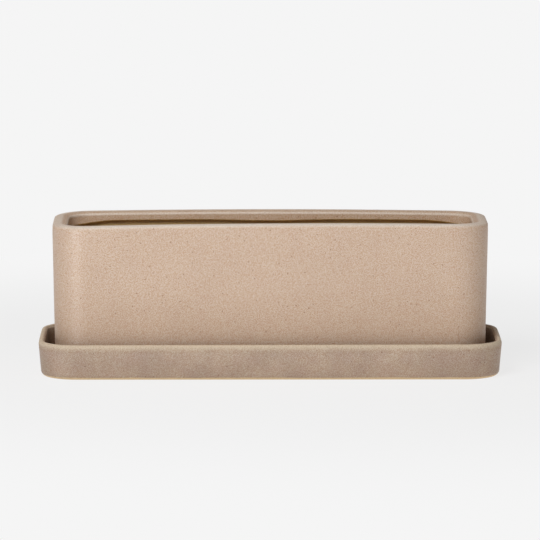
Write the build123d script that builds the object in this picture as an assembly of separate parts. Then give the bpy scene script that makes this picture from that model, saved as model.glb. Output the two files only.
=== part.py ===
from build123d import *
import os
from math import atan, cos, degrees, hypot, radians, sin, tan

# Stoneware herb planter: a rounded trough that stands loose in a drip saucer.
# Millimetres, +Z up. The origin is on the table under the middle of the saucer,
# +X runs along the length and the long front face looks along -Y.

# Overall sizes
SAUCER_LENGTH = 360.0
SAUCER_DEPTH = 121.0
SAUCER_HEIGHT = 28.0
RIM_HEIGHT = 120.5
SIDE_GAP = 10.5

# Saucer: wall leaning out, lip of half an oval, rounded heel, recess under the floor
SAUCER_CORNER_RADIUS = 30.0
SAUCER_WALL = 4.7
SAUCER_DRAFT = 3.8
SAUCER_LIP_RISE = 2.0
SAUCER_FLOOR = 5.5
SAUCER_HEEL_RADIUS = 4.5
SAUCER_COVE_BEVEL = 3.5
SAUCER_FOOT_HEIGHT = 1.5
SAUCER_FOOT_WIDTH = 7.0
SAUCER_FOOT_SLOPE = 2.0

# Trough: bevelled heel, drafted wall, shoulder that turns in, thick lip that hangs over the inside
POT_CORNER_RADIUS = 28.0
POT_OUTER_DRAFT = 1.0
POT_INNER_DRAFT = 1.5
POT_WALL = 7.0
POT_FLOOR = 9.0
POT_HEEL_BEVEL = 4.0
POT_COVE_BEVEL = 4.5
LIP_WIDTH = 11.5
LIP_HEIGHT = 7.2
LIP_LEAN = 4.0
LIP_OUTER_RISE = 1.9
LIP_INNER_RISE = 3.0
SHOULDER_RADIUS = 80.0
UNDERCUT_SLOPE = 15.0

# Base of the trough: foot ring with drain grooves, drain holes in the floor
POT_FOOT_HEIGHT = 2.5
POT_FOOT_WIDTH = 7.0
POT_FOOT_SLOPE = 3.0
DRAIN_COUNT = 3
DRAIN_SPACING = 105.0
DRAIN_DIAMETER = 12.0
GROOVE_COUNT = 2
GROOVE_SPACING = 105.0
GROOVE_RADIUS = 6.0
GROOVE_HEIGHT = 2.0

# A wall section reaches in over the floor by this much of its corner radius,
# and the flat middle of the floor laps over it by a small strip
SECTION_REACH = 0.8
FLOOR_OVERLAP = 2.0
QUARTER_TURN = 90.0

# Worked out from the sizes above
POT_LENGTH = SAUCER_LENGTH - 2 * SIDE_GAP
POT_DEPTH = SAUCER_DEPTH - 2 * SIDE_GAP
POT_BASE_Z = SAUCER_FOOT_HEIGHT + SAUCER_FLOOR
POT_UNDERSIDE_Z = POT_BASE_Z + POT_FOOT_HEIGHT
POT_FLOOR_Z = POT_UNDERSIDE_Z + POT_FLOOR


def outline(length, depth, radius):
    """Rounded rectangle as one wire that starts in the middle of the +X end."""
    half_x = length / 2
    half_y = depth / 2
    with BuildLine() as line:
        start = Line((half_x, 0), (half_x, half_y - radius))
        corner = JernArc(start @ 1, start % 1, radius, QUARTER_TURN)
        back = Line(corner @ 1, (radius - half_x, half_y))
        corner = JernArc(back @ 1, back % 1, radius, QUARTER_TURN)
        end = Line(corner @ 1, (-half_x, radius - half_y))
        corner = JernArc(end @ 1, end % 1, radius, QUARTER_TURN)
        front = Line(corner @ 1, (half_x - radius, -half_y))
        corner = JernArc(front @ 1, front % 1, radius, QUARTER_TURN)
        Line(corner @ 1, start @ 0)
    return line.wire()


def section_plane(length):
    """Upright plane through the +X end: first axis outward, second axis up."""
    return Plane(origin=(length / 2, 0, 0), x_dir=(1, 0, 0), z_dir=(0, -1, 0))


def corner_at(sketch, point):
    """The corner of a flat section that lies nearest to a point of its plane."""
    return sketch.vertices().sort_by_distance(point)[0]


def foot_points(wall_foot, base_z, underside_z, heel, width, slope, reach):
    """Corners of the foot ring, from the wall's foot in to the recess over it."""
    inner_edge = wall_foot - heel - width
    return [
        (wall_foot, base_z),
        (inner_edge, base_z),
        (inner_edge - slope, underside_z),
        (-reach, underside_z),
    ]


def pot_section():
    """Section of the trough's wall, overhanging lip, cove and foot ring."""
    draft = radians(POT_OUTER_DRAFT)
    lean = radians(LIP_LEAN)
    inner_draft = radians(POT_INNER_DRAFT)
    reach = SECTION_REACH * POT_CORNER_RADIUS
    half_lip = LIP_WIDTH / 2
    lip_start = atan(tan(lean) * LIP_OUTER_RISE / half_lip)
    lip_z = RIM_HEIGHT - LIP_OUTER_RISE * (1 - sin(lip_start))
    shoulder_z = lip_z - SHOULDER_RADIUS * (sin(draft) + sin(lean))
    wall_foot = -(shoulder_z - POT_BASE_Z) * tan(draft)
    foot = foot_points(
        wall_foot, POT_BASE_Z, POT_UNDERSIDE_Z, POT_HEEL_BEVEL, POT_FOOT_WIDTH, POT_FOOT_SLOPE, reach
    )
    with BuildSketch(section_plane(POT_LENGTH)) as section:
        with BuildLine():
            wall = Line(foot[0], (0, shoulder_z))
            shoulder = JernArc(wall @ 1, wall % 1, SHOULDER_RADIUS, POT_OUTER_DRAFT + LIP_LEAN)
            crest_x = (shoulder @ 1).X - half_lip * cos(lip_start)
            outer_middle = (crest_x, RIM_HEIGHT - LIP_OUTER_RISE)
            inner_middle = (crest_x, RIM_HEIGHT - LIP_INNER_RISE)
            outer_turn = QUARTER_TURN - degrees(lip_start)
            EllipticalCenterArc(
                outer_middle, half_lip, LIP_OUTER_RISE, degrees(lip_start), arc_size=outer_turn
            )
            inner_lip = EllipticalCenterArc(
                inner_middle, half_lip, LIP_INNER_RISE, QUARTER_TURN, arc_size=QUARTER_TURN
            )
            lip_edge = Vector(crest_x - half_lip, RIM_HEIGHT - LIP_HEIGHT)
            overhang = -POT_WALL - lip_edge.X
            wall_top = lip_edge + Vector(overhang, -overhang * tan(radians(UNDERCUT_SLOPE)))
            cove = (wall_top.X - (wall_top.Y - POT_FLOOR_Z) * tan(inner_draft), POT_FLOOR_Z)
            Polyline(inner_lip @ 1, lip_edge, wall_top, cove, (-reach, POT_FLOOR_Z), *reversed(foot))
        make_face()
        chamfer(corner_at(section, foot[0]), POT_HEEL_BEVEL)
        chamfer(corner_at(section, cove), POT_COVE_BEVEL)
    return section.sketch


def saucer_section():
    """Section of the saucer's wall, lip, cove and foot ring."""
    draft = radians(SAUCER_DRAFT)
    half_wall = SAUCER_WALL / 2
    reach = SECTION_REACH * SAUCER_CORNER_RADIUS
    lip_reach = hypot(half_wall * cos(draft), SAUCER_LIP_RISE * sin(draft))
    lip_rise = hypot(SAUCER_LIP_RISE * cos(draft), half_wall * sin(draft))
    lip_middle = Vector(-lip_reach, SAUCER_HEIGHT - lip_rise)
    wall_top = lip_middle + Vector(half_wall * cos(draft), -half_wall * sin(draft))
    wall_foot = wall_top.X - wall_top.Y * tan(draft)
    foot = foot_points(
        wall_foot, 0, SAUCER_FOOT_HEIGHT, SAUCER_HEEL_RADIUS, SAUCER_FOOT_WIDTH, SAUCER_FOOT_SLOPE, reach
    )
    with BuildSketch(section_plane(SAUCER_LENGTH)) as section:
        with BuildLine():
            Line(foot[0], wall_top)
            lip = EllipticalCenterArc(
                lip_middle, half_wall, SAUCER_LIP_RISE, arc_size=2 * QUARTER_TURN, rotation=-SAUCER_DRAFT
            )
            inner_top = lip @ 1
            cove = (inner_top.X - (inner_top.Y - POT_BASE_Z) * tan(draft), POT_BASE_Z)
            Polyline(inner_top, cove, (-reach, POT_BASE_Z), *reversed(foot))
        make_face()
        fillet(corner_at(section, foot[0]), SAUCER_HEEL_RADIUS)
        chamfer(corner_at(section, cove), SAUCER_COVE_BEVEL)
    return section.sketch


def vessel(section, length, depth, radius, underside_z, floor_z):
    """A section carried round the outline, closed by the flat middle of the floor."""
    inset = SECTION_REACH * radius - FLOOR_OVERLAP
    floor_plane = Plane.XY.offset(underside_z)
    floor_face = floor_plane * RectangleRounded(length - 2 * inset, depth - 2 * inset, radius - inset)
    wall = sweep(section, path=outline(length, depth, radius))
    return wall + extrude(floor_face, floor_z - underside_z)


def row_along_x(count, spacing):
    """Even places along X, centred on the middle of the planter."""
    return GridLocations(spacing, 0, count, 1)


def make_saucer():
    """Shallow tray whose recessed floor carries the trough's foot ring."""
    return vessel(
        saucer_section(), SAUCER_LENGTH, SAUCER_DEPTH, SAUCER_CORNER_RADIUS, SAUCER_FOOT_HEIGHT, POT_BASE_Z
    )


def make_pot():
    """Trough with drain holes in its floor and grooves through its foot ring."""
    body = vessel(
        pot_section(), POT_LENGTH, POT_DEPTH, POT_CORNER_RADIUS, POT_UNDERSIDE_Z, POT_FLOOR_Z
    )
    drain = Pos(0, 0, POT_UNDERSIDE_Z + POT_FLOOR / 2) * Cylinder(DRAIN_DIAMETER / 2, 2 * POT_FLOOR)
    body -= row_along_x(DRAIN_COUNT, DRAIN_SPACING) * drain
    groove_z = POT_BASE_Z + GROOVE_HEIGHT - GROOVE_RADIUS
    groove = Pos(0, 0, groove_z) * Rot(QUARTER_TURN, 0, 0) * Cylinder(GROOVE_RADIUS, POT_DEPTH)
    return body - row_along_x(GROOVE_COUNT, GROOVE_SPACING) * groove


os.makedirs("parts", exist_ok=True)
export_step(make_saucer(), "parts/saucer.step")
export_step(make_pot(), "parts/pot.step")
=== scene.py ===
"""Dresses the herb planter: a rounded stoneware trough standing in its drip saucer."""

import logging
import math
from collections.abc import Sequence
from dataclasses import asdict, dataclass, field
from enum import Enum
from functools import partial, reduce
from itertools import accumulate
from typing import ClassVar, Self

import bpy
from mathutils import Matrix, Vector


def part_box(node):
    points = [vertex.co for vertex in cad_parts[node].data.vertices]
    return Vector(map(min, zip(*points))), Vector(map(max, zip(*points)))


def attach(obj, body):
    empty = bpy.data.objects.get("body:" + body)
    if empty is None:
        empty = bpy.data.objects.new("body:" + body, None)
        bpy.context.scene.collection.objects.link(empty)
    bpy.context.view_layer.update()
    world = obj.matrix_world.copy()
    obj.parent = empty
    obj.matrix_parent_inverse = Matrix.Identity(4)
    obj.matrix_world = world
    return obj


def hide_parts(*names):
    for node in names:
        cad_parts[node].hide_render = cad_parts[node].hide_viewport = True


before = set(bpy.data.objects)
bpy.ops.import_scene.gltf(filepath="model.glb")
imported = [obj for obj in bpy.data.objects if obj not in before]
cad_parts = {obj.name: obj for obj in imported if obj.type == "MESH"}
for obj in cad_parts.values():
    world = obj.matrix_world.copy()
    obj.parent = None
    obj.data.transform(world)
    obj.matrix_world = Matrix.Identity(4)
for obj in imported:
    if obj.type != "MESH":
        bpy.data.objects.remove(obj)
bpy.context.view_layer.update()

LOG = logging.getLogger("planter")

MM = 0.001
Point = tuple[float, float]
Colour = tuple[float, float, float, float]
Socket = bpy.types.NodeSocket
Feed = Socket | bpy.types.Material | float | int | str | Sequence[float]
Feeds = dict[str, Feed]


class Ware(Enum):
    """The pieces of ware; the value names the solid, its body and the dressed piece."""

    POT = "pot"
    SAUCER = "saucer"

    @property
    def slot(self) -> str:
        """The finish that the record gives to this piece."""
        return f"{self.value}_glaze"


class Coat(Enum):
    """How the glaze lies; the value names the point attribute that holds its share."""

    THIN = "thin_glaze"
    POOLED = "pooled_glaze"
    INSIDE = "inside_glaze"
    RIM = "rim_glaze"
    BARE = "bare_inside"


# Names the point attribute that marks the lower edge of an overhanging lip
LIP_HANG = "lip_hang"


def smooth_step(value: float, start: float, end: float) -> float:
    """A smooth step from 0 where the value is at the start to 1 where it is at the end."""
    share = min(1.0, max(0.0, (value - start) / (end - start)))
    return share * share * (3.0 - 2.0 * share)


def add_object(name: str, data: bpy.types.ID) -> bpy.types.Object:
    """Puts a new object in the scene.

    Args:
        name: The object's name.
        data: Its mesh, light or camera.

    Returns:
        The object.
    """
    thing = bpy.data.objects.new(name, data)
    bpy.context.scene.collection.objects.link(thing)
    return thing


class NodeSheet:
    """Lays nodes on a tree and wires them up, for geometry and materials alike."""

    MIX_FACTOR: ClassVar[int] = 0
    MIX_FIRST_COLOUR: ClassVar[int] = 6
    MIX_SECOND_COLOUR: ClassVar[int] = 7
    MIX_COLOUR_RESULT: ClassVar[int] = 2

    def __init__(self, tree: bpy.types.NodeTree) -> None:
        """Starts a sheet on the tree that the nodes go on."""
        self.tree = tree

    @classmethod
    def emptied(cls, owner: bpy.types.Material | bpy.types.World) -> Self:
        """Starts a sheet on the tree of a material or a world, with nothing left on it.

        Args:
            owner: The material or the world.

        Returns:
            The sheet.
        """
        owner.use_nodes = True
        owner.node_tree.nodes.clear()
        return cls(owner.node_tree)

    def feed(self, socket: Socket, value: Feed) -> None:
        """Links a socket to another one, or sets its own value.

        Args:
            socket: The input socket.
            value: An output socket to link from, or the value itself.
        """
        if isinstance(value, Socket):
            self.tree.links.new(value, socket)
        else:
            socket.default_value = value

    def add(self, kind: str, feeds: Feeds | None = None, **settings: object) -> bpy.types.Node:
        """Adds one node.

        Args:
            kind: The node's type name.
            feeds: What goes into its inputs, by their names.
            **settings: The node's own properties.

        Returns:
            The new node.
        """
        node = self.tree.nodes.new(kind)
        for name, value in settings.items():
            setattr(node, name, value)
        for name, value in (feeds or {}).items():
            self.feed(node.inputs[name], value)
        return node

    def first(self, kind: str, feeds: Feeds | None = None, **settings: object) -> Socket:
        """Adds one node and gives its first output."""
        return self.add(kind, feeds, **settings).outputs[0]

    def math(self, operation: str, *terms: Feed, kind: str = "ShaderNodeMath") -> Socket:
        """Adds a math node.

        Args:
            operation: What it works out.
            *terms: Its inputs, in order.
            kind: The node's type name.

        Returns:
            The result.
        """
        node = self.add(kind, operation=operation)
        for socket, term in zip(node.inputs, terms):
            self.feed(socket, term)
        return node.outputs[0]

    def vector_math(self, operation: str, *terms: Feed) -> Socket:
        """Adds a math node that works on vectors."""
        return self.math(operation, *terms, kind="ShaderNodeVectorMath")

    def plus(self, *terms: Feed) -> Socket:
        """The sum of the terms."""
        return reduce(partial(self.math, "ADD"), terms)

    def minus(self, whole: Feed, part: Feed) -> Socket:
        """What is left of the first term without the second."""
        return self.math("SUBTRACT", whole, part)

    def times(self, *terms: Feed) -> Socket:
        """The product of the terms."""
        return reduce(partial(self.math, "MULTIPLY"), terms)

    def ramp(self, value: Feed, start: Feed, end: Feed) -> Socket:
        """A smooth step from 0 at the start to 1 at the end, which may be below the start."""
        feeds = {"Value": value, "From Min": start, "From Max": end}
        return self.first("ShaderNodeMapRange", feeds, interpolation_type="SMOOTHSTEP")

    def split(self, vector: Feed) -> list[Socket]:
        """The X, Y and Z of a vector."""
        return list(self.add("ShaderNodeSeparateXYZ", {"Vector": vector}).outputs)

    def join(self, x: Feed, y: Feed, z: Feed) -> Socket:
        """A vector from its X, Y and Z."""
        return self.first("ShaderNodeCombineXYZ", {"X": x, "Y": y, "Z": z})

    def blend(self, share: Feed, first: Feed, second: Feed, how: str = "MIX") -> Socket:
        """Lays one colour over another.

        Args:
            share: How much of the second colour is laid on, from 0 to 1.
            first: The colour underneath.
            second: The colour on top.
            how: The kind of blend.

        Returns:
            The blended colour.
        """
        node = self.add("ShaderNodeMix", data_type="RGBA", blend_type=how)
        self.feed(node.inputs[self.MIX_FACTOR], share)
        self.feed(node.inputs[self.MIX_FIRST_COLOUR], first)
        self.feed(node.inputs[self.MIX_SECOND_COLOUR], second)
        return node.outputs[self.MIX_COLOUR_RESULT]

    def mixed(self, share: Feed, first: Socket, second: Socket) -> Socket:
        """Mixes two shaders.

        Args:
            share: How much of the second one shows, from 0 to 1.
            first: One shader.
            second: The other shader.

        Returns:
            The mixed shader.
        """
        node = self.add("ShaderNodeMixShader", {"Fac": share})
        for socket, shader in zip(node.inputs[1:], (first, second)):
            self.feed(socket, shader)
        return node.outputs[0]

    def noise(self, place: Feed, scale: float, detail: float, roughness: float = 0.5) -> Socket:
        """A noise pattern from 0 to 1, with its scale in features to the metre."""
        feeds = {"Vector": place, "Scale": scale, "Detail": detail, "Roughness": roughness}
        return self.first("ShaderNodeTexNoise", feeds)


@dataclass(frozen=True)
class Bend:
    """A corner of a wall section and the radius that rounds it, in metres."""

    u: float
    z: float
    radius: float = 0.0

    @property
    def place(self) -> Vector:
        """The corner itself, before it is rounded."""
        return Vector((self.u, self.z))


@dataclass
class WallSection:
    """A wall section drawn from the recess under it up the outside and down the inside.

    Its points are (u, z): u runs outward from the widest outline and z up.
    """

    bends: list[Bend] = field(default_factory=list)
    longest_run: float = 4.0 * MM
    lip_run: float = 0.3 * MM
    widest_turn: float = math.radians(7.0)
    closest: float = 0.01 * MM
    turn_scale: float = 5.0 * MM
    turn_reach: float = 1.0 * MM
    lip_reach: float = 12.0 * MM
    lip_band: Point = (-8.6 * MM, -4.6 * MM)
    edge_thin: Point = (1.1, 1.9)
    edge_reach: float = 9.5 * MM
    crest_fade: float = 2.6 * MM
    cove_pooled: Point = (0.1, 0.7)
    inside_run: Point = (2.0 * MM, 9.0 * MM)
    rim_run: Point = (-9.0 * MM, -6.0 * MM)
    bare_from: float = math.inf
    bare_softness: float = 0.4 * MM
    hang_in: Point = (-4.5 * MM, -0.5 * MM)
    hang_out: Point = (20.0 * MM, 5.0 * MM)

    def corner(self, u: float, z: float, radius: float = 0.0) -> None:
        """Adds a corner, unless the line already ends there.

        Args:
            u: How far it is outward.
            z: Its height.
            radius: The radius that rounds it.
        """
        bend = Bend(u, z, radius)
        if not self.bends or (bend.place - self.bends[-1].place).length >= self.closest:
            self.bends.append(bend)

    def oval(self, middle: Point, half: Point, span: Point, lean: float = 0.0) -> Point:
        """Adds an arc of an oval.

        Args:
            middle: The middle of the oval.
            half: Half its width and half its height.
            span: The angles where the arc starts and ends, in radians.
            lean: How far the oval's upper end leans outward.

        Returns:
            The arc's last point.
        """
        half_width, half_height = half
        start, end = span
        turn = abs(end - start)
        count = math.ceil(max(turn / self.widest_turn, turn * half_width / self.lip_run))
        for step in range(count + 1):
            angle = start + (end - start) * step / count
            across = half_width * math.cos(angle)
            along = half_height * math.sin(angle)
            u = middle[0] + across * math.cos(lean) + along * math.sin(lean)
            z = middle[1] - across * math.sin(lean) + along * math.cos(lean)
            self.corner(u, z)
        return u, z

    def _round(self, before: Bend, bend: Bend, after: Bend) -> list[Vector]:
        """Points of the arc that rounds a corner.

        Args:
            before: The corner before it.
            bend: The corner itself.
            after: The corner after it.

        Returns:
            The arc's points, or the corner alone if it isn't rounded.
        """
        corner = bend.place
        if bend.radius == 0.0:
            return [corner]
        back = (before.place - corner).normalized()
        ahead = (after.place - corner).normalized()
        half_angle = back.angle(ahead) / 2
        middle = corner + (back + ahead).normalized() * bend.radius / math.sin(half_angle)
        start = corner + back * bend.radius / math.tan(half_angle) - middle
        turn = math.copysign(math.pi - 2 * half_angle, ahead.x * back.y - ahead.y * back.x)
        count = math.ceil(abs(turn) / self.widest_turn)
        turns = [Matrix.Rotation(turn * step / count, 2) for step in range(count + 1)]
        return [middle + rotation @ start for rotation in turns]

    def points(self) -> list[Vector]:
        """The whole line, with corners rounded and long runs divided, finely so at the lip.

        Returns:
            Its points in order.
        """
        corners = [self.bends[0].place]
        for before, bend, after in zip(self.bends, self.bends[1:], self.bends[2:]):
            corners.extend(self._round(before, bend, after))
        corners.append(self.bends[-1].place)
        lip_foot = corners[self._crest(corners)].y - self.lip_reach
        line = [corners[0]]
        for start, end in zip(corners, corners[1:]):
            stops = [start, end]
            if (start.y - lip_foot) * (end.y - lip_foot) < 0.0:
                stops.insert(1, start.lerp(end, (lip_foot - start.y) / (end.y - start.y)))
            for here, there in zip(stops, stops[1:]):
                run = self.lip_run if (here.y + there.y) / 2 > lip_foot else self.longest_run
                count = math.ceil((there - here).length / run)
                line.extend(here.lerp(there, step / count) for step in range(1, count + 1))
        return line

    def _crest(self, line: Sequence[Vector]) -> int:
        """Which point of the line is the highest."""
        return max(range(len(line)), key=lambda index: line[index].y)

    def _along(self, line: Sequence[Vector]) -> list[float]:
        """Measures along the line, from the crest inward.

        Args:
            line: The line's points.

        Returns:
            How far along each point is, below 0 on the outside.
        """
        runs = [(end - start).length for start, end in zip(line, line[1:])]
        along = list(accumulate(runs, initial=0.0))
        crest = along[self._crest(line)]
        return [here - crest for here in along]

    def _turns(self, line: Sequence[Vector], along: Sequence[float]) -> list[float]:
        """How sharply the line turns outward at each point, evened out along it.

        Args:
            line: The line's points.
            along: How far along the line they are.

        Returns:
            Above 1 on an edge, 0 on a flat wall and less in a cove.
        """
        turns = [0.0] * len(line)
        for index in range(1, len(line) - 1):
            came = line[index] - line[index - 1]
            goes = line[index + 1] - line[index]
            turns[index] = math.atan2(came.x * goes.y - came.y * goes.x, came.dot(goes))
        scale = self.turn_scale / (self.turn_reach * math.sqrt(math.pi))
        evened = []
        for here in along:
            nearness = (math.exp(-(((here - there) / self.turn_reach) ** 2)) for there in along)
            evened.append(scale * sum(turn * near for turn, near in zip(turns, nearness)))
        return evened

    def coats(self, line: Sequence[Vector]) -> dict[Coat, list[float]]:
        """How the glaze lies along the line.

        Args:
            line: The line's points.

        Returns:
            The share of every coat at each point, from 0 to 1.
        """
        along = self._along(line)
        soft = self.bare_softness
        coats = {coat: [0.0] * len(line) for coat in Coat}
        for index, (past, turn) in enumerate(zip(along, self._turns(line, along))):
            if past < self.crest_fade:
                band = smooth_step(past, *self.lip_band) ** 2
                coats[Coat.THIN][index] = band * smooth_step(past, self.crest_fade, 0.0)
            elif past < self.edge_reach:
                coats[Coat.THIN][index] = smooth_step(turn, *self.edge_thin)
            coats[Coat.POOLED][index] = smooth_step(-turn, *self.cove_pooled)
            coats[Coat.INSIDE][index] = smooth_step(past, *self.inside_run)
            coats[Coat.RIM][index] = smooth_step(-abs(past), *self.rim_run)
            coats[Coat.BARE][index] = smooth_step(past - self.bare_from, -soft, soft)
        return coats

    def hang(self, line: Sequence[Vector]) -> list[float]:
        """The share, from 0 to 1, that each point has in the lip's overhanging lower edge."""
        below = [past - self.bare_from for past in self._along(line)]
        return [smooth_step(run, *self.hang_in) * smooth_step(run, *self.hang_out) for run in below]

    def mesh(self, name: str) -> bpy.types.Mesh:
        """The line as a flat mesh that the vessel tree can carry round.

        Args:
            name: The mesh's name.

        Returns:
            A mesh of edges from the floor to the recess, drawn upside down as the sweep needs.
        """
        line = self.points()
        mesh = bpy.data.meshes.new(name)
        places = [(point.x, -point.y, 0.0) for point in reversed(line)]
        mesh.from_pydata(places, [(start, start + 1) for start in range(len(line) - 1)], [])
        marks = {coat.value: shares for coat, shares in self.coats(line).items()}
        for mark, shares in {**marks, LIP_HANG: self.hang(line)}.items():
            attribute = mesh.attributes.new(mark, "FLOAT", "POINT")
            attribute.data.foreach_set("value", shares[::-1])
        return mesh


class VesselTree:
    """Geometry nodes that carry a wall section round a rounded outline and close its floor."""

    FLOAT_INPUTS: ClassVar[tuple[str, ...]] = (
        *("Length", "Depth", "Corner Radius", "Ring Step"),
        *("Base Height", "Rim Height", "Floor Height", "Underside Height"),
        *("Drain Spacing", "Drain Radius", "Drain Rounding"),
        *("Groove Spacing", "Groove Radius", "Groove Height"),
        *("Lip Fall", "Lip Sag", "End Bow", "Crown", "Tilt", "Pitch", "Twist"),
        *("Wobble", "Wobble Scale", "Seed"),
    )
    OTHER_INPUTS: ClassVar[dict[str, str]] = {
        "Section": "NodeSocketGeometry",
        "Drain Count": "NodeSocketInt",
        "Glaze": "NodeSocketMaterial",
    }
    CORNER_POINTS: ClassVar[int] = 48
    DRAIN_SIDES: ClassVar[int] = 48
    DRAIN_RINGS: ClassVar[int] = 22
    WELD: ClassVar[float] = 0.01 * MM
    OPEN_EDGE_FACES: ClassVar[float] = 1.0
    # Noise swings by a half to either side, so a share of 2 reaches the whole wobble
    WOBBLE_SHARES: ClassVar[tuple[float, float, float]] = (2.0, 2.0, 0.4)
    WOBBLE_DETAIL: ClassVar[float] = 1.0
    NOISE_MIDDLE: ClassVar[tuple[float, float, float]] = (0.5, 0.5, 0.5)
    FALL_SPAN: ClassVar[Point] = (0.72, 0.94)
    SAG_SPAN: ClassVar[Point] = (0.36, 0.02)
    BOW_SPAN: ClassVar[Point] = (0.88, 0.97)

    def __init__(self) -> None:
        """Builds the tree."""
        self.tree = bpy.data.node_groups.new("swept_vessel", "GeometryNodeTree")
        kinds = {**self.OTHER_INPUTS, **dict.fromkeys(self.FLOAT_INPUTS, "NodeSocketFloat")}
        for name, kind in kinds.items():
            self._declare(name, kind)
        self._declare("Vessel", "NodeSocketGeometry", "OUTPUT")
        self.sheet = sheet = NodeSheet(self.tree)
        self.given = sheet.add("NodeGroupInput").outputs
        wall = self._wall()
        whole = self._joined(wall, *self._floors(wall), self._drain_walls())
        feeds = {"Geometry": whole, "Distance": self.WELD}
        shaped = self._hand_made(sheet.first("GeometryNodeMergeByDistance", feeds))
        smooth = sheet.add("GeometryNodeSetShadeSmooth")
        sheet.feed(smooth.inputs[0], shaped)
        real = sheet.first("GeometryNodeRealizeInstances", {"Geometry": smooth.outputs[0]})
        feeds = {"Geometry": real, "Material": self.given["Glaze"]}
        sheet.add("NodeGroupOutput", {"Vessel": sheet.first("GeometryNodeSetMaterial", feeds)})

    def _declare(self, name: str, kind: str, side: str = "INPUT") -> None:
        """Gives the tree a named input or output."""
        self.tree.interface.new_socket(name, in_out=side, socket_type=kind)

    def _joined(self, *parts: Socket) -> Socket:
        """Puts geometry together.

        Args:
            *parts: The pieces of geometry.

        Returns:
            All of them as one.
        """
        node = self.sheet.add("GeometryNodeJoinGeometry")
        for part in parts:
            self.sheet.feed(node.inputs[0], part)
        return node.outputs[0]

    def _wall(self) -> Socket:
        """Carries the section once round the rounded outline.

        Returns:
            The wall, open at the floor and at the recess under it.
        """
        sheet, given = self.sheet, self.given
        feeds = {"Width": given["Length"], "Height": given["Depth"]}
        outline = sheet.first("GeometryNodeCurvePrimitiveQuadrilateral", feeds)
        feeds = {"Curve": outline, "Count": self.CORNER_POINTS, "Radius": given["Corner Radius"]}
        rounded = sheet.first("GeometryNodeFilletCurve", feeds, mode="POLY")
        feeds = {"Curve": rounded, "Length": given["Ring Step"]}
        even = sheet.first("GeometryNodeResampleCurve", feeds, mode="LENGTH")
        section = sheet.first("GeometryNodeMeshToCurve", {"Mesh": given["Section"]})
        return sheet.first("GeometryNodeCurveToMesh", {"Curve": even, "Profile Curve": section})

    def _drain_places(self) -> Socket:
        """Spaces the drain holes evenly along the length.

        Returns:
            A point for the middle of each.
        """
        count, spacing = self.given["Drain Count"], self.given["Drain Spacing"]
        span = self.sheet.times(self.sheet.minus(count, 1.0), spacing)
        first = self.sheet.join(self.sheet.times(span, -0.5), 0.0, 0.0)
        step = self.sheet.join(spacing, 0.0, 0.0)
        feeds = {"Count": count, "Start Location": first, "Offset": step}
        return self.sheet.first("GeometryNodeMeshLine", feeds)

    def _at_drains(self, shape: Socket) -> Socket:
        """Repeats a shape at every drain hole.

        Args:
            shape: Geometry drawn round the origin.

        Returns:
            The copies, made real.
        """
        feeds = {"Points": self._drain_places(), "Instance": shape}
        copies = self.sheet.first("GeometryNodeInstanceOnPoints", feeds)
        return self.sheet.first("GeometryNodeRealizeInstances", {"Geometry": copies})

    def _ring(self, radius: Feed) -> Socket:
        """A circle as wide as a drain hole's wall or rim."""
        feeds = {"Resolution": self.DRAIN_SIDES, "Radius": radius}
        return self.sheet.first("GeometryNodeCurvePrimitiveCircle", feeds)

    def _arc(self, radius: Feed, aside: Feed) -> Socket:
        """How high a circle stands over its middle at a distance aside, 0 past its edge."""
        depth = self.sheet.minus(self.sheet.times(radius, radius), self.sheet.times(aside, aside))
        return self.sheet.math("SQRT", self.sheet.math("MAXIMUM", depth, 0.0))

    def _drain_walls(self) -> Socket:
        """Makes the drain holes' walls, flared to a soft rim at both faces of the floor.

        Returns:
            The walls of all the holes.
        """
        sheet = self.sheet
        rounding = self.given["Drain Rounding"]
        base, top = self.given["Underside Height"], self.given["Floor Height"]
        low = sheet.join(0.0, sheet.times(base, -1.0), 0.0)
        high = sheet.join(0.0, sheet.times(top, -1.0), 0.0)
        line = sheet.first("GeometryNodeCurvePrimitiveLine", {"Start": low, "End": high})
        rings = sheet.first("GeometryNodeResampleCurve", {"Curve": line, "Count": self.DRAIN_RINGS})
        place = sheet.first("GeometryNodeInputPosition")
        height = sheet.times(sheet.split(place)[1], -1.0)
        inward = sheet.math("MINIMUM", sheet.minus(height, base), sheet.minus(top, height))
        lack = sheet.math("MAXIMUM", sheet.minus(rounding, inward), 0.0)
        flare = sheet.minus(rounding, self._arc(rounding, lack))
        feeds = {"Geometry": rings, "Offset": sheet.join(flare, 0.0, 0.0)}
        flared = sheet.first("GeometryNodeSetPosition", feeds)
        feeds = {"Curve": self._ring(self.given["Drain Radius"]), "Profile Curve": flared}
        return self._at_drains(sheet.first("GeometryNodeCurveToMesh", feeds))

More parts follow.
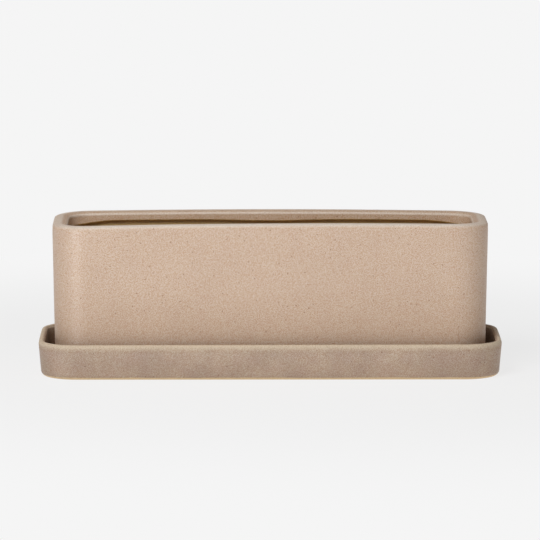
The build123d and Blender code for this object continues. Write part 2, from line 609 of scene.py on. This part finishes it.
    def _floors(self, wall: Socket) -> list[Socket]:
        """The flat middle of the floor and of the recess under it, with the drain holes left open.

        Args:
            wall: The swept wall, whose two open edges they close.

        Returns:
            The upper and the lower face.
        """
        sheet, given = self.sheet, self.given
        faces = sheet.first("GeometryNodeInputMeshEdgeNeighbors")
        free = sheet.math("COMPARE", faces, self.OPEN_EDGE_FACES)
        loops = sheet.first("GeometryNodeMeshToCurve", {"Mesh": wall, "Selection": free})
        place = sheet.first("GeometryNodeInputPosition")
        middle = sheet.times(sheet.plus(given["Floor Height"], given["Underside Height"]), 0.5)
        upper = sheet.math("GREATER_THAN", sheet.split(place)[2], middle)
        parted = sheet.add("GeometryNodeSeparateGeometry", {"Geometry": loops, "Selection": upper})
        rim_radius = sheet.plus(given["Drain Radius"], given["Drain Rounding"])
        rims = self._at_drains(self._ring(rim_radius))
        made = []
        for loop, height in zip(parted.outputs, ("Floor Height", "Underside Height")):
            filled = sheet.first("GeometryNodeFillCurve", {"Curve": self._joined(loop, rims)})
            x, y, _ = sheet.split(place)
            feeds = {"Geometry": filled, "Position": sheet.join(x, y, given[height])}
            made.append(sheet.first("GeometryNodeSetPosition", feeds))
        made[1] = sheet.first("GeometryNodeFlipFaces", {"Mesh": made[1]})
        return made

    def _hand_made(self, vessel: Socket) -> Socket:
        """Cuts the foot's grooves and gives the rim and wall the unevenness of hand-made ware.

        Args:
            vessel: The vessel, true to its outline.

        Returns:
            The shaped vessel.
        """
        sheet, given = self.sheet, self.given
        place = sheet.first("GeometryNodeInputPosition")
        x, y, z = sheet.split(place)
        aside = sheet.minus(sheet.math("ABSOLUTE", x), sheet.times(given["Groove Spacing"], 0.5))
        rise = self._arc(given["Groove Radius"], aside)
        groove_top = sheet.plus(given["Base Height"], given["Groove Height"])
        middle = sheet.minus(groove_top, given["Groove Radius"])
        cleared = sheet.math("MAXIMUM", z, sheet.plus(middle, rise))

        share = sheet.ramp(z, given["Base Height"], given["Rim Height"])
        along = sheet.math("DIVIDE", x, sheet.times(given["Length"], 0.5))
        ahead = sheet.math("DIVIDE", y, sheet.times(given["Depth"], -0.5))
        crown = sheet.times(along, along, given["Crown"])
        tilt = sheet.times(along, given["Tilt"])
        twist = sheet.times(along, ahead, given["Twist"])
        pitch = sheet.times(ahead, given["Pitch"])
        lift = sheet.minus(sheet.plus(tilt, pitch, twist), crown)
        lifted = sheet.plus(cleared, sheet.times(lift, share))

        off_middle = sheet.math("ABSOLUTE", along)
        marked = sheet.add("GeometryNodeInputNamedAttribute", {"Name": LIP_HANG}, data_type="FLOAT")
        fall = sheet.times(sheet.ramp(off_middle, *self.FALL_SPAN), given["Lip Fall"])
        sagging = sheet.ramp(off_middle, *self.SAG_SPAN)
        drop = sheet.math("MULTIPLY_ADD", sagging, given["Lip Sag"], fall)
        height = sheet.minus(lifted, sheet.times(marked.outputs["Attribute"], drop))
        middle_share = sheet.minus(1.0, sheet.times(ahead, ahead))
        end_share = sheet.times(sheet.ramp(off_middle, *self.BOW_SPAN), sheet.math("SIGN", along))
        bow = sheet.times(middle_share, end_share, given["End Bow"])
        outward = sheet.plus(x, sheet.times(bow, share))

        feeds = {
            "Vector": place,
            "W": given["Seed"],
            "Scale": given["Wobble Scale"],
            "Detail": self.WOBBLE_DETAIL,
        }
        noise = sheet.add("ShaderNodeTexNoise", feeds, noise_dimensions="4D").outputs["Color"]
        swing = sheet.vector_math("SUBTRACT", noise, self.NOISE_MIDDLE)
        sway = sheet.vector_math("MULTIPLY", swing, self.WOBBLE_SHARES)
        offset = sheet.vector_math("MULTIPLY", sway, sheet.times(given["Wobble"], share))
        moved = sheet.join(outward, y, height)
        feeds = {"Geometry": vessel, "Position": moved, "Offset": offset}
        return sheet.first("GeometryNodeSetPosition", feeds)

    def cast(self, name: str, section: bpy.types.Mesh, values: Feeds) -> bpy.types.Object:
        """Makes one vessel as a plain mesh.

        Args:
            name: The piece's name.
            section: Its wall section.
            values: What the tree's inputs are given, by their names.

        Returns:
            The finished piece, with no modifier left on it.
        """
        piece = add_object(name, section)
        sweep = piece.modifiers.new("sweep", "NODES")
        sweep.node_group = self.tree
        for item in self.tree.interface.items_tree:
            if item.in_out == "INPUT" and item.name in values:
                sweep[item.identifier] = values[item.name]
        depsgraph = bpy.context.evaluated_depsgraph_get()
        mesh = bpy.data.meshes.new_from_object(piece.evaluated_get(depsgraph), depsgraph=depsgraph)
        mesh.name = name
        piece.modifiers.clear()
        piece.data = mesh
        bpy.data.meshes.remove(section)
        return piece


@dataclass(frozen=True)
class StonewareGlaze:
    """Matt speckled glaze over buff clay; lengths in metres, scales in features to the metre."""

    name: str
    light_grain: Colour
    dark_grain: Colour
    cloud_tint: Colour
    cloud_share: float
    cloud_start: float
    blush_share: float
    break_tint: Colour
    break_share: float
    inner_break_share: float
    glaze_line: float
    # Painted shade: this tint darkens the glaze from the top height down to the low one, towards the
    # foot
    foot_tint: Colour
    foot_top: float
    foot_low: float
    blush_tint: Colour = (0.96, 0.925, 0.945, 1.0)
    fleck_tint: Colour = (0.60, 0.48, 0.38, 1.0)
    speck_tint: Colour = (0.20, 0.115, 0.06, 1.0)
    pool_tint: Colour = (0.84, 0.79, 0.73, 1.0)
    # Painted shade: darkens the glaze on the inside
    inside_tint: Colour = (1.0, 0.97, 0.90, 1.0)
    light_clay: Colour = (0.68, 0.48, 0.27, 1.0)
    dark_clay: Colour = (0.56, 0.38, 0.19, 1.0)
    inner_clay: Colour = (0.9, 0.87, 0.66, 1.0)
    grain_scale: float = 1500.0
    grain_detail: float = 3.0
    grain_roughness: float = 0.62
    grain_turn: tuple[float, float, float] = (0.6, 0.4, 0.9)
    grain_span: Point = (0.374, 0.626)
    cloud_scale: float = 26.0
    cloud_detail: float = 3.0
    blush_scale: float = 85.0
    blush_detail: float = 2.0
    patch_span: Point = (0.36, 0.66)
    fleck_scale: float = 300.0
    fleck_reach: float = 0.22
    speck_scale: float = 88.0
    speck_reach: float = 0.055
    dot_core: float = 0.5
    dot_sink: float = 0.3
    glaze_roughness: float = 0.66
    roughness_swing: float = 0.16
    clay_roughness: float = 0.9
    waver_scale: float = 45.0
    waver_detail: float = 2.0
    noise_middle: float = 0.5
    line_waver: float = 0.7 * MM
    line_softness: float = 0.25 * MM
    bump_height: float = 0.12 * MM
    bump_strength: float = 0.35
    dull_roughness: float = 0.2
    coat_share: float = 0.3
    coat_roughness: float = 0.38
    break_grain: float = 0.6
    # Painted shade: over this span the lighter glaze break on the rim is dulled towards both ends
    break_end: Point = (135.0 * MM, 175.0 * MM)
    break_end_loss: float = 0.0

    def _dots(self, sheet: NodeSheet, place: Feed, scale: float, reach: float) -> Socket:
        """Scattered dots of uneven size.

        Args:
            sheet: The material's node sheet.
            place: Where the pattern is looked up.
            scale: Cells to the metre.
            reach: The largest dot's radius, as a share of a cell.

        Returns:
            1 inside a dot and 0 outside.
        """
        cells = sheet.add("ShaderNodeTexVoronoi", {"Vector": place, "Scale": scale})
        chance = sheet.split(cells.outputs["Color"])[0]
        radius = sheet.times(chance, reach)
        return sheet.ramp(cells.outputs["Distance"], radius, sheet.times(radius, self.dot_core))

    def material(self) -> bpy.types.Material:
        """Builds the finish.

        Returns:
            The material.
        """
        material = bpy.data.materials.new(self.name)
        sheet = NodeSheet.emptied(material)
        place = sheet.add("ShaderNodeTexCoord").outputs["Object"]

        # Turned, so that no wall lies along the pattern's own grid and looks banded
        turned = sheet.first("ShaderNodeMapping", {"Vector": place, "Rotation": self.grain_turn})
        grain = sheet.noise(turned, self.grain_scale, self.grain_detail, self.grain_roughness)
        grain_share = sheet.ramp(grain, *self.grain_span)
        cloud_place = sheet.vector_math("ADD", place, (self.cloud_start, 0.0, 0.0))
        cloud = sheet.noise(cloud_place, self.cloud_scale, self.cloud_detail)
        cloud_share = sheet.times(sheet.ramp(cloud, *self.patch_span), self.cloud_share)
        blush = sheet.noise(place, self.blush_scale, self.blush_detail)
        blush_share = sheet.times(sheet.ramp(blush, *self.patch_span), self.blush_share)
        flecks = self._dots(sheet, place, self.fleck_scale, self.fleck_reach)
        specks = self._dots(sheet, place, self.speck_scale, self.speck_reach)
        coat = {
            kind: sheet.add("ShaderNodeAttribute", attribute_name=kind.value).outputs["Fac"]
            for kind in Coat
        }
        inside = coat[Coat.INSIDE]
        inner_gain = self.inner_break_share - self.break_share
        lift = sheet.math("MULTIPLY_ADD", inside, inner_gain, self.break_share)
        across, _, height = sheet.split(place)
        # Painted shade: the glaze break fades towards the ends of the rim
        at_end = sheet.ramp(sheet.math("ABSOLUTE", across), *self.break_end)
        kept = sheet.math("MULTIPLY_ADD", at_end, -self.break_end_loss, 1.0)
        least = 1.0 - self.break_grain / 2
        uneven = sheet.math("MULTIPLY_ADD", grain_share, self.break_grain, least)
        broken = sheet.times(coat[Coat.THIN], lift, sheet.times(kept, uneven))
        # Painted shade, growing darker towards the foot
        painted_foot_shade = sheet.ramp(height, self.foot_top, self.foot_low)
        waver = sheet.noise(place, self.waver_scale, self.waver_detail)
        stray = sheet.times(sheet.minus(waver, self.noise_middle), self.line_waver)
        above = sheet.minus(sheet.plus(height, stray), self.glaze_line)
        footed = sheet.ramp(above, self.line_softness, -self.line_softness)
        bare = sheet.math("MAXIMUM", footed, coat[Coat.BARE])

        tone = sheet.blend(grain_share, self.dark_grain, self.light_grain)
        washes = (
            (cloud_share, self.cloud_tint),
            (blush_share, self.blush_tint),
            (painted_foot_shade, self.foot_tint),
            (flecks, self.fleck_tint),
            (inside, self.inside_tint),
        )
        for share, tint in washes:
            tone = sheet.blend(share, tone, tint, "MULTIPLY")
        tone = sheet.blend(broken, tone, self.break_tint)
        # Darkens the glaze in the coves, where the section turns inward
        tone = sheet.blend(coat[Coat.POOLED], tone, self.pool_tint, "MULTIPLY")
        tone = sheet.blend(specks, tone, self.speck_tint)
        clay = sheet.blend(grain_share, self.dark_clay, self.light_clay)
        clay = sheet.blend(coat[Coat.BARE], clay, self.inner_clay, "MULTIPLY")
        tone = sheet.blend(bare, tone, clay)

        smoothest = self.glaze_roughness - self.roughness_swing / 2
        sheen = sheet.plus(sheet.times(grain, self.roughness_swing), smoothest)
        dull = sheet.math("MAXIMUM", coat[Coat.RIM], inside)
        matt = sheet.math("MULTIPLY_ADD", dull, self.dull_roughness, sheen)
        lack = sheet.minus(self.clay_roughness, matt)
        rough = sheet.math("MULTIPLY_ADD", bare, lack, matt)
        relief = sheet.minus(grain, sheet.times(sheet.plus(specks, flecks), self.dot_sink))
        feeds = {"Height": relief, "Distance": self.bump_height, "Strength": self.bump_strength}
        bump = sheet.first("ShaderNodeBump", feeds)
        feeds = {
            "Base Color": tone,
            "Roughness": rough,
            "Normal": bump,
            "Coat Weight": sheet.math("MULTIPLY_ADD", dull, -self.coat_share, self.coat_share),
            "Coat Roughness": self.coat_roughness,
        }
        surface = sheet.first("ShaderNodeBsdfPrincipled", feeds)
        sheet.add("ShaderNodeOutputMaterial", {"Surface": surface})
        return material


@dataclass(frozen=True)
class HandMade:
    """How far the ware strays from true, in metres.

    The rim falls by the crown to both ends, and rises by the tilt to the right, by the pitch to
    the front and by the twist to the front right corner. The lip's lower edge hangs lower by its
    fall at both ends and by its sag in the middle, and the ends bow outward.
    """

    pitch: float
    twist: float
    wobble: float
    seed: float
    wobble_scale: float = 11.0
    lip_fall: float = 0.0
    lip_sag: float = 0.0
    end_bow: float = 0.0
    crown: float = 0.0
    tilt: float = 0.0

    def inputs(self) -> dict[str, float]:
        """The values by the names of the vessel tree's inputs."""
        return {name.replace("_", " ").title(): value for name, value in asdict(self).items()}


@dataclass
class Vessel:
    """What the trough and the saucer have in common."""

    ware: Ware
    glaze: StonewareGlaze
    hand: HandMade
    corner_radius: float
    wall: float
    floor: float
    cove_radius: float
    foot_height: float
    foot_width: float
    foot_slope: float
    ring_step: float = 2.5 * MM
    section_reach: float = 0.8
    edge_rounding: float = 0.8 * MM

    def __post_init__(self) -> None:
        """Takes the outline and the heights from the solid."""
        low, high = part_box(self.ware.value)
        self.length = high.x - low.x
        self.depth = high.y - low.y
        self.base_z = low.z
        self.rim_z = high.z

    @property
    def reach(self) -> float:
        """How far the wall section reaches in over the floor."""
        return self.section_reach * self.corner_radius

    @property
    def underside_z(self) -> float:
        """Height of the recess under the floor."""
        return self.base_z + self.foot_height

    @property
    def floor_z(self) -> float:
        """Height of the floor's upper face."""
        return self.underside_z + self.floor

    def section(self) -> WallSection:
        """Draws the wall section."""
        raise NotImplementedError

    def sizes(self) -> Feeds:
        """Gathers what the vessel tree needs.

        Returns:
            The values of the tree's inputs, by their names.
        """
        return {
            "Length": self.length,
            "Depth": self.depth,
            "Corner Radius": self.corner_radius,
            "Ring Step": self.ring_step,
            "Base Height": self.base_z,
            "Rim Height": self.rim_z,
            "Floor Height": self.floor_z,
            "Underside Height": self.underside_z,
            **self.hand.inputs(),
        }

    def build(self, tree: VesselTree) -> bpy.types.Object:
        """Makes the piece.

        Args:
            tree: The tree that sweeps its wall.

        Returns:
            The piece, glazed.
        """
        name = f"{self.ware.value}_ware"
        values = {**self.sizes(), "Glaze": self.glaze.material()}
        return tree.cast(name, self.section().mesh(f"{name}_section"), values)

    def dress(self, piece: bpy.types.Object) -> None:
        """Puts the piece in the place of its solid.

        Args:
            piece: The finished piece.
        """
        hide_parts(self.ware.value)
        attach(piece, self.ware.value)


@dataclass
class Saucer(Vessel):
    """Shallow drip saucer with a leaning wall, an oval lip and a bare foot."""

    corner_radius: float = 30.0 * MM
    wall: float = 4.7 * MM
    floor: float = 5.5 * MM
    cove_radius: float = 5.0 * MM
    foot_height: float = 1.5 * MM
    foot_width: float = 7.0 * MM
    foot_slope: float = 2.0 * MM
    draft: float = math.radians(3.8)
    heel_radius: float = 4.5 * MM
    lip_rise: float = 2.6 * MM
    lip_band: Point = (-9.3 * MM, -1.3 * MM)

    def section(self) -> WallSection:
        """Draws the wall section.

        Returns:
            The section, from the recess round to the floor.
        """
        half = self.wall / 2
        lean = self.draft
        lip_reach = math.hypot(half * math.cos(lean), self.lip_rise * math.sin(lean))
        lip_height = math.hypot(self.lip_rise * math.cos(lean), half * math.sin(lean))
        middle = (-lip_reach, self.rim_z - lip_height)
        wall_top = (middle[0] + half * math.cos(lean), middle[1] - half * math.sin(lean))
        wall_foot = wall_top[0] - (wall_top[1] - self.base_z) * math.tan(lean)
        foot_edge = wall_foot - self.heel_radius - self.foot_width
        section = WallSection(lip_band=self.lip_band)
        section.corner(-self.reach, self.underside_z)
        section.corner(foot_edge - self.foot_slope, self.underside_z, self.edge_rounding)
        section.corner(foot_edge, self.base_z, self.edge_rounding)
        section.corner(wall_foot, self.base_z, self.heel_radius)
        inner_top = section.oval(middle, (half, self.lip_rise), (0.0, math.pi), lean)
        cove = inner_top[0] - (inner_top[1] - self.floor_z) * math.tan(lean)
        section.corner(cove, self.floor_z, self.cove_radius)
        section.corner(-self.reach, self.floor_z)
        return section


@dataclass
class Pot(Vessel):
    """Trough with a drafted wall, a thick lip that hangs over the inside and a drained floor."""

    corner_radius: float = 28.0 * MM
    wall: float = 7.0 * MM
    floor: float = 9.0 * MM
    cove_radius: float = 8.0 * MM
    foot_height: float = 2.5 * MM
    foot_width: float = 7.0 * MM
    foot_slope: float = 3.0 * MM
    outer_draft: float = math.radians(1.0)
    inner_draft: float = math.radians(1.5)
    heel_bevel: float = 4.0 * MM
    heel_rounding: float = 3.0 * MM
    lip_width: float = 11.5 * MM
    lip_height: float = 7.2 * MM
    lip_lean: float = math.radians(4.0)
    lip_outer_rise: float = 1.9 * MM
    lip_inner_rise: float = 3.0 * MM
    lip_edge_rounding: float = 0.9 * MM
    shoulder_radius: float = 80.0 * MM
    undercut_slope: float = math.radians(15.0)
    throat_rounding: float = 2.0 * MM
    drain_count: int = 3
    drain_spacing: float = 105.0 * MM
    drain_radius: float = 6.0 * MM
    drain_rounding: float = 1.2 * MM
    groove_spacing: float = 105.0 * MM
    groove_radius: float = 6.0 * MM
    groove_height: float = 2.0 * MM

    def sizes(self) -> Feeds:
        """Gathers what the vessel tree needs, drain holes and grooves included.

        Returns:
            The values of the tree's inputs, by their names.
        """
        return {
            **super().sizes(),
            "Drain Count": self.drain_count,
            "Drain Spacing": self.drain_spacing,
            "Drain Radius": self.drain_radius,
            "Drain Rounding": self.drain_rounding,
            "Groove Spacing": self.groove_spacing,
            "Groove Radius": self.groove_radius,
            "Groove Height": self.groove_height,
        }

    def section(self) -> WallSection:
        """Draws the wall section.

        Returns:
            The section, from the recess round to the floor.
        """
        radius = self.shoulder_radius
        shoulder_rise = radius * (math.sin(self.outer_draft) + math.sin(self.lip_lean))
        half_lip = self.lip_width / 2
        lip_face = self.lip_height - self.lip_inner_rise
        lip_start = math.atan(math.tan(self.lip_lean) * self.lip_outer_rise / half_lip)
        shoulder_z = self.rim_z - self.lip_outer_rise * (1 - math.sin(lip_start)) - shoulder_rise
        wall_foot = -(shoulder_z - self.base_z) * math.tan(self.outer_draft)
        foot_edge = wall_foot - self.heel_bevel - self.foot_width
        section = WallSection(bare_from=math.hypot(half_lip, self.lip_inner_rise) + lip_face)
        section.corner(-self.reach, self.underside_z)
        section.corner(foot_edge - self.foot_slope, self.underside_z, self.edge_rounding)
        section.corner(foot_edge, self.base_z, self.edge_rounding)
        section.corner(wall_foot - self.heel_bevel, self.base_z, self.heel_rounding)
        section.corner(wall_foot, self.base_z + self.heel_bevel, self.heel_rounding)
        shoulder_middle = (
            -radius * math.cos(self.outer_draft),
            shoulder_z + radius * math.sin(self.outer_draft),
        )
        shoulder_span = (-self.outer_draft, self.lip_lean)
        lip_outside = section.oval(shoulder_middle, (radius, radius), shoulder_span)
        lip_middle = lip_outside[0] - half_lip * math.cos(lip_start)
        lip_inside = lip_middle - half_lip
        crest = math.pi / 2
        rises = self.lip_outer_rise, self.lip_inner_rise
        for rise, span in zip(rises, ((lip_start, crest), (crest, math.pi))):
            section.oval((lip_middle, self.rim_z - rise), (half_lip, rise), span)
        edge_z = self.rim_z - self.lip_height
        throat_z = edge_z + (self.wall + lip_inside) * math.tan(self.undercut_slope)
        section.corner(lip_inside, edge_z, self.lip_edge_rounding)
        section.corner(-self.wall, throat_z, self.throat_rounding)
        cove = -self.wall - (throat_z - self.floor_z) * math.tan(self.inner_draft)
        section.corner(cove, self.floor_z, self.cove_radius)
        section.corner(-self.reach, self.floor_z)
        return section


@dataclass(frozen=True)
class SoftBox:
    """A soft light aimed at the planter; one for sheen shows in the glaze's coat alone."""

    name: str
    place: tuple[float, float, float]
    width: float
    height: float
    power: float
    for_sheen: bool = False

    def build(self, target: Vector) -> None:
        """Hangs the light.

        Args:
            target: The point it is aimed at.
        """
        light = bpy.data.lights.new(self.name, "AREA")
        light.shape = "RECTANGLE"
        light.size = self.width
        light.size_y = self.height
        light.energy = self.power
        box = add_object(self.name, light)
        box.location = self.place
        box.rotation_euler = (target - box.location).to_track_quat("-Z", "Y").to_euler()
        box.visible_camera = False
        box.visible_diffuse = not self.for_sheen


@dataclass(frozen=True)
class PhotoCamera:
    """A long lens a little above the rim, looking along +Y and turned towards +X by its azimuth."""

    lens: float = 332.2
    sensor: float = 36.0
    distance: float = 3.907
    elevation: float = math.radians(7.8)
    azimuth: float = math.radians(0.33)
    aim: tuple[float, float, float] = (0.0, 0.0025, 0.0778)

    def build(self) -> None:
        """Sets up the camera and makes it the scene's own."""
        data = bpy.data.cameras.new("photo_camera")
        data.lens = self.lens
        data.sensor_width = self.sensor
        camera = add_object("photo_camera", data)
        level = math.cos(self.elevation)
        right, front = level * math.sin(self.azimuth), level * math.cos(self.azimuth)
        ahead = Vector((right, front, -math.sin(self.elevation)))
        camera.location = Vector(self.aim) - ahead * self.distance
        camera.rotation_euler = ahead.to_track_quat("-Z", "Y").to_euler()
        bpy.context.scene.camera = camera


@dataclass(frozen=True)
class Studio:
    """Pale floor and surroundings, soft light from the upper left and a low sheen at each side."""

    backdrop: float = 0.913
    floor_bounce: float = 0.9
    shadow_share: float = 0.16
    shadow_start: float = 0.24
    shadow_end: float = 0.70
    floor_reach: float = 9.0
    ambient: float = 0.2
    target: tuple[float, float, float] = (0.0, 0.0, 0.06)
    lights: tuple[SoftBox, ...] = (
        SoftBox("key_box", (-0.45, -1.12, 1.11), width=0.75, height=0.75, power=17.0),
        SoftBox("fill_box", (1.10, -1.70, 0.55), width=1.0, height=1.0, power=0.8),
        SoftBox("sheen_box", (-1.20, -1.34, 0.25), width=0.25, height=0.6, power=30.0, for_sheen=True),
        SoftBox("edge_box", (1.20, -1.34, 0.25), width=0.25, height=0.6, power=7.0, for_sheen=True),
    )
    camera: PhotoCamera = PhotoCamera()

    def _seen(self, sheet: NodeSheet) -> Socket:
        """Tells rays that are seen from those that only light something.

        Args:
            sheet: The node sheet of the floor or of the world.

        Returns:
            1 for rays from the camera and for mirrored or refracted ones, else 0.
        """
        path = sheet.add("ShaderNodeLightPath").outputs
        mirrored = sheet.math("MAXIMUM", path["Is Glossy Ray"], path["Is Transmission Ray"])
        return sheet.math("MAXIMUM", path["Is Camera Ray"], mirrored)

    def _grey(self, level: float) -> Colour:
        """A neutral colour of one level."""
        return (level, level, level, 1.0)

    def _floor_finish(self) -> bpy.types.Material:
        """Pale where it is seen, with the planter's shadow on it, and open from below.

        Returns:
            The floor's material.
        """
        material = bpy.data.materials.new("pale_floor")
        sheet = NodeSheet.emptied(material)
        glow = sheet.first("ShaderNodeEmission", {"Color": self._grey(self.backdrop)})
        matt = sheet.first("ShaderNodeBsdfDiffuse", {"Color": self._grey(self.backdrop)})
        place = sheet.add("ShaderNodeTexCoord").outputs["Object"]
        away = sheet.add("ShaderNodeVectorMath", operation="LENGTH")
        sheet.feed(away.inputs[0], place)
        near = sheet.ramp(away.outputs["Value"], self.shadow_end, self.shadow_start)
        shaded = sheet.mixed(sheet.times(near, self.shadow_share), glow, matt)
        plain = sheet.first("ShaderNodeEmission", {"Color": self._grey(self.floor_bounce)})
        chosen = sheet.mixed(self._seen(sheet), plain, shaded)
        below = sheet.add("ShaderNodeNewGeometry").outputs["Backfacing"]
        opened = sheet.mixed(below, chosen, sheet.first("ShaderNodeBsdfTransparent"))
        sheet.add("ShaderNodeOutputMaterial", {"Surface": opened})
        return material

    def _floor(self) -> None:
        """Lays the floor that the planter stands on."""
        reach = self.floor_reach
        mesh = bpy.data.meshes.new("floor")
        sides = ((-reach, -reach), (reach, -reach), (reach, reach), (-reach, reach))
        mesh.from_pydata([(x, y, 0.0) for x, y in sides], [], [(0, 1, 2, 3)])
        mesh.materials.append(self._floor_finish())
        floor = add_object("floor", mesh)

    def _surroundings(self) -> None:
        """Gives the world its pale colour where it is seen and its soft light elsewhere."""
        world = bpy.data.worlds.new("studio")
        sheet = NodeSheet.emptied(world)
        tone = sheet.blend(self._seen(sheet), self._grey(self.ambient), self._grey(self.backdrop))
        glow = sheet.first("ShaderNodeBackground", {"Color": tone})
        sheet.add("ShaderNodeOutputWorld", {"Surface": glow})
        bpy.context.scene.world = world

    def build(self) -> None:
        """Sets up the floor, the light and the camera."""
        bpy.context.scene.view_settings.view_transform = "Standard"
        self._floor()
        self._surroundings()
        for light in self.lights:
            light.build(Vector(self.target))
        self.camera.build()


POT_GLAZE = StonewareGlaze(
    name="pot_glaze",
    light_grain=(0.626, 0.504, 0.402, 1.0),
    dark_grain=(0.482, 0.294, 0.178, 1.0),
    cloud_tint=(0.93, 0.92, 0.91, 1.0),
    cloud_share=0.5,
    cloud_start=0.3,
    blush_share=0.3,
    break_tint=(0.79, 0.695, 0.595, 1.0),
    break_share=0.9,
    inner_break_share=0.5,
    glaze_line=9.9 * MM,
    # Painted shade towards the foot
    foot_tint=(0.87, 0.83, 0.78, 1.0),
    foot_top=82.0 * MM,
    foot_low=24.0 * MM,
    # Painted shade at the rim's ends
    break_end_loss=0.45,
)

SAUCER_GLAZE = StonewareGlaze(
    name="saucer_glaze",
    light_grain=(0.544, 0.449, 0.349, 1.0),
    dark_grain=(0.370, 0.222, 0.129, 1.0),
    cloud_tint=(0.80, 0.78, 0.79, 1.0),
    cloud_share=0.9,
    cloud_start=0.2,
    blush_share=1.0,
    break_tint=(0.64, 0.53, 0.39, 1.0),
    break_share=0.75,
    inner_break_share=0.5,
    glaze_line=2.0 * MM,
    # Painted shade towards the foot
    foot_tint=(0.84, 0.80, 0.76, 1.0),
    foot_top=26.0 * MM,
    foot_low=3.0 * MM,
    # Painted shade: the saucer's inside is darkened so that the gap round the pot reads dark
    inside_tint=(0.58, 0.50, 0.40, 1.0),
)

SAUCER_HAND = HandMade(
    pitch=-0.35 * MM,
    twist=0.3 * MM,
    wobble=0.2 * MM,
    seed=4.0,
    end_bow=0.5 * MM,
)

POT_HAND = HandMade(
    pitch=-0.06 * MM,
    twist=0.55 * MM,
    wobble=0.35 * MM,
    seed=9.0,
    lip_fall=3.0 * MM,
    lip_sag=1.05 * MM,
    crown=1.6 * MM,
    tilt=0.42 * MM,
)


def main() -> None:
    """Builds the pieces in order and sets up the studio."""
    logging.basicConfig(level=logging.INFO, format="%(name)s: %(message)s")
    tree = VesselTree()
    vessels = (
        Saucer(Ware.SAUCER, SAUCER_GLAZE, SAUCER_HAND),
        Pot(Ware.POT, POT_GLAZE, POT_HAND),
    )
    for vessel in vessels:
        piece = vessel.build(tree)
        vessel.dress(piece)
        made = piece.data
        LOG.info("%s: %d vertices, %d faces", piece.name, len(made.vertices), len(made.polygons))
    Studio().build()


if __name__ == "__main__":
    main()
